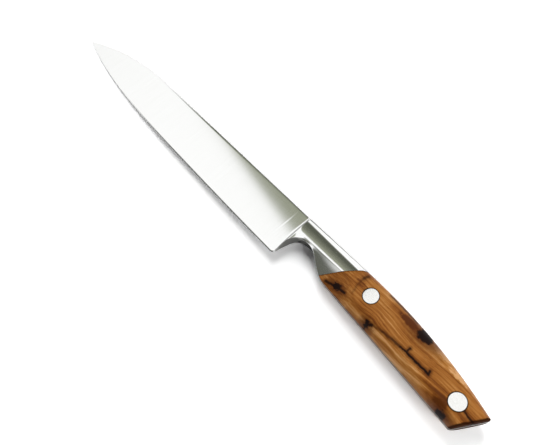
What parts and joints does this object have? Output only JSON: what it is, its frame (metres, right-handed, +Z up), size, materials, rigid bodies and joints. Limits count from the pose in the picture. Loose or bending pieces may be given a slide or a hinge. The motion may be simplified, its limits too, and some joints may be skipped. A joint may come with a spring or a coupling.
{
  "type": "carving knife",
  "caption": "Long narrow carving knife: forged pointed blade with half bolster and full tang, riveted wooden handle scales.",
  "frame": {"origin": "on the surface that the knife lies on, under the middle of its box", "axes": "+X towards the point, +Y towards the cutting edge, +Z up, out of the left face"},
  "size_m": [0.384, 0.03, 0.016],
  "materials": {
    "blade_steel": "satin, ground across the blade",
    "scale_wood": "oiled, with dark knots and cracks",
    "rivet_steel": "polished flush with the wood"
  },
  "bodies": {
    "root": {"forged_blade": "blade_steel", "left_scale": "scale_wood", "right_scale": "scale_wood", "front_rivet_male": "rivet_steel", "front_rivet_female": "rivet_steel", "rear_rivet_male": "rivet_steel", "rear_rivet_female": "rivet_steel"}
  },
  "joints": []
}
